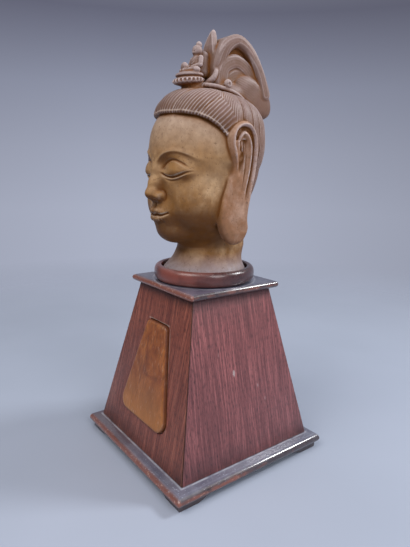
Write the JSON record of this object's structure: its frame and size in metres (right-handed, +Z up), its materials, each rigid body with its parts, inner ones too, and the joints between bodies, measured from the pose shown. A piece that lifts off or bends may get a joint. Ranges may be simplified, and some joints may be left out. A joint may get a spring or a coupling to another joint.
{
  "type": "stone buddha head on a wooden stand",
  "caption": "Carved stone head with long ears, combed hair and a high arched knot, resting in a turned ring on a tapered square wooden stand with a raised plaque and low bracket feet.",
  "frame": {"origin": "centre of the stand's square base, at the underside of the feet", "axes": "+Z up, -Y the way the face and the plaque look, +X to the right as seen from the front"},
  "size_m": [0.18, 0.18, 0.4105],
  "materials": {
    "stone": "smooth carved stone, worn and patinated",
    "dark_wood": "very dark polished wood",
    "ring_wood": "dark turned wood, polished",
    "red_brown_wood": "red-brown polished wood with upright grain",
    "plaque_wood": "lighter orange-brown wood, soft sheen"
  },
  "bodies": {
    "root": {"head": "stone", "collar_ring": "ring_wood", "top_board": "dark_wood", "front_board": "red_brown_wood", "back_board": "red_brown_wood", "left_board": "red_brown_wood", "right_board": "red_brown_wood", "plaque": "plaque_wood", "base_board": "dark_wood", "foot_front_left": "dark_wood", "foot_front_right": "dark_wood", "foot_back_left": "dark_wood", "foot_back_right": "dark_wood"}
  },
  "joints": []
}
